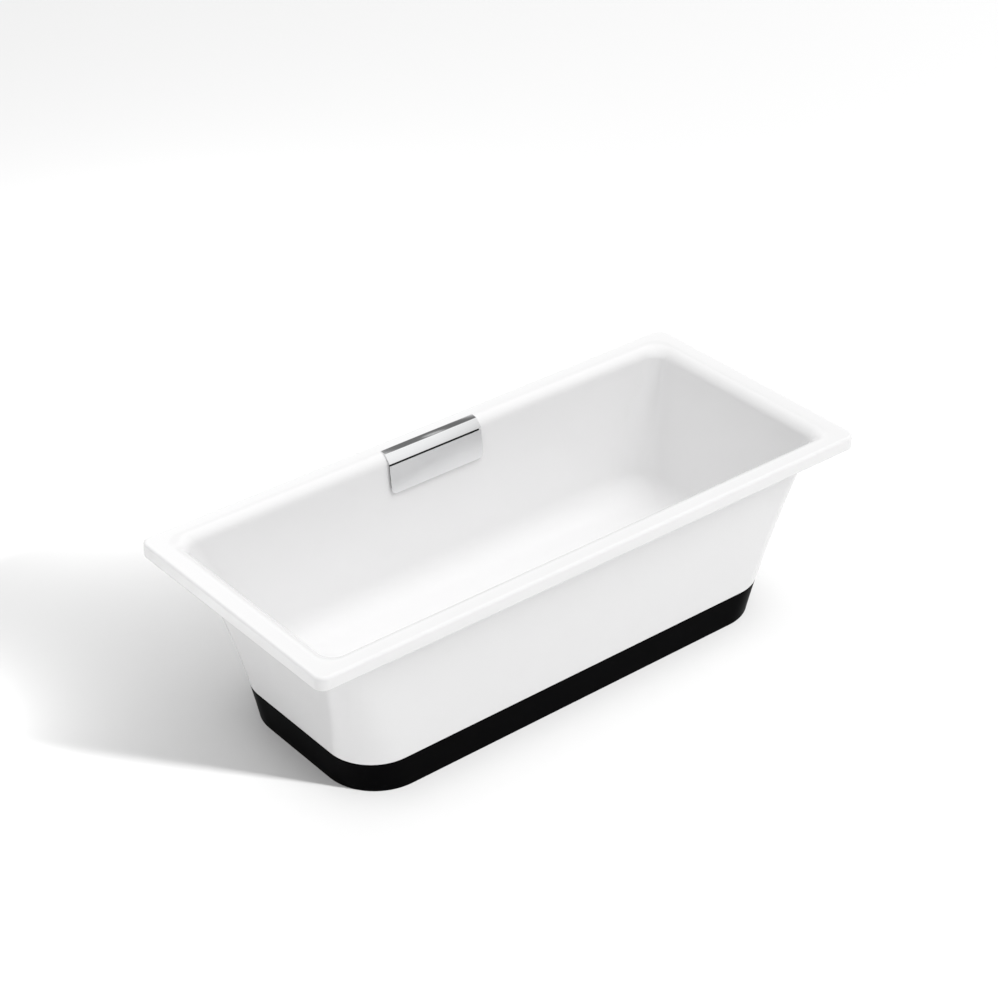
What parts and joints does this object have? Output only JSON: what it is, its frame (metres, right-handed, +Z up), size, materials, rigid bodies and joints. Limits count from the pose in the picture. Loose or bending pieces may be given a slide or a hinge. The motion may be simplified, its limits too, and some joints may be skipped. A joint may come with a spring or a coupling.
{
  "type": "freestanding bathtub",
  "caption": "Long flared white bathtub with a wide flat rim, a black plinth and a chrome overflow plate on one long side.",
  "frame": {"origin": "on the floor under the centre of the tub", "axes": "+X along the length, +Y to the long side with the overflow, +Z up"},
  "size_m": [1.7, 0.75, 0.5108],
  "materials": {
    "enamel": "gloss white vitreous enamel",
    "plinth_gloss": "gloss black lacquer",
    "plate_chrome": "bright chrome with a faint grain",
    "chrome": "bright chrome",
    "stainless": "brushed",
    "zinc_steel": "zinc plated",
    "painted_steel": "satin black powder coat",
    "brass": "cast and turned",
    "rubber": "matt",
    "washer_plastic": "natural nylon",
    "liner_plastic": "matt black moulding"
  },
  "bodies": {
    "tub": {"tub_shell": "enamel", "plinth_band": "plinth_gloss", "plinth_seal": "rubber", "plinth_clips": "zinc_steel", "plinth_screws": "zinc_steel", "cross_bearer_left": "painted_steel", "cross_bearer_right": "painted_steel", "side_rail_front": "painted_steel", "side_rail_back": "painted_steel", "bearer_bolts": "zinc_steel", "rail_bolts": "zinc_steel", "foot_locknuts": "zinc_steel", "drain_flange": "chrome", "drain_gasket_top": "rubber", "drain_gasket_bottom": "rubber", "drain_shoe": "brass", "waste_arm": "chrome", "waste_tee": "chrome", "outlet_tail": "chrome", "floor_escutcheon": "chrome", "pipe_grommet": "rubber", "slip_nuts": "chrome", "slip_washers": "washer_plastic", "overflow_pipe": "chrome", "overflow_body": "chrome", "overflow_gasket": "rubber", "overflow_inner_gasket": "rubber", "overflow_nipple": "chrome", "overflow_bracket": "stainless", "bracket_screws": "stainless", "overflow_liner": "liner_plastic", "overflow_plate": "plate_chrome", "rim_trim": "plate_chrome"},
    "stopper": {"stopper_cap": "chrome", "stopper_seal": "rubber", "stopper_stem": "brass"},
    "foot_1": {"foot_stud_1": "zinc_steel", "foot_pad_1": "rubber"},
    "foot_2": {"foot_stud_2": "zinc_steel", "foot_pad_2": "rubber"},
    "foot_3": {"foot_stud_3": "zinc_steel", "foot_pad_3": "rubber"},
    "foot_4": {"foot_stud_4": "zinc_steel", "foot_pad_4": "rubber"}
  },
  "joints": [
    {"name": "stopper_push", "type": "slide", "parent": "tub", "child": "stopper", "axis": [0, 0, 1], "range_m": [0, 0.009]},
    {"name": "foot_1_level", "type": "slide", "parent": "tub", "child": "foot_1", "axis": [0, 0, -1], "range_m": [0, 0.012]},
    {"name": "foot_2_level", "type": "slide", "parent": "tub", "child": "foot_2", "axis": [0, 0, -1], "range_m": [0, 0.012]},
    {"name": "foot_3_level", "type": "slide", "parent": "tub", "child": "foot_3", "axis": [0, 0, -1], "range_m": [0, 0.012]},
    {"name": "foot_4_level", "type": "slide", "parent": "tub", "child": "foot_4", "axis": [0, 0, -1], "range_m": [0, 0.012]}
  ]
}
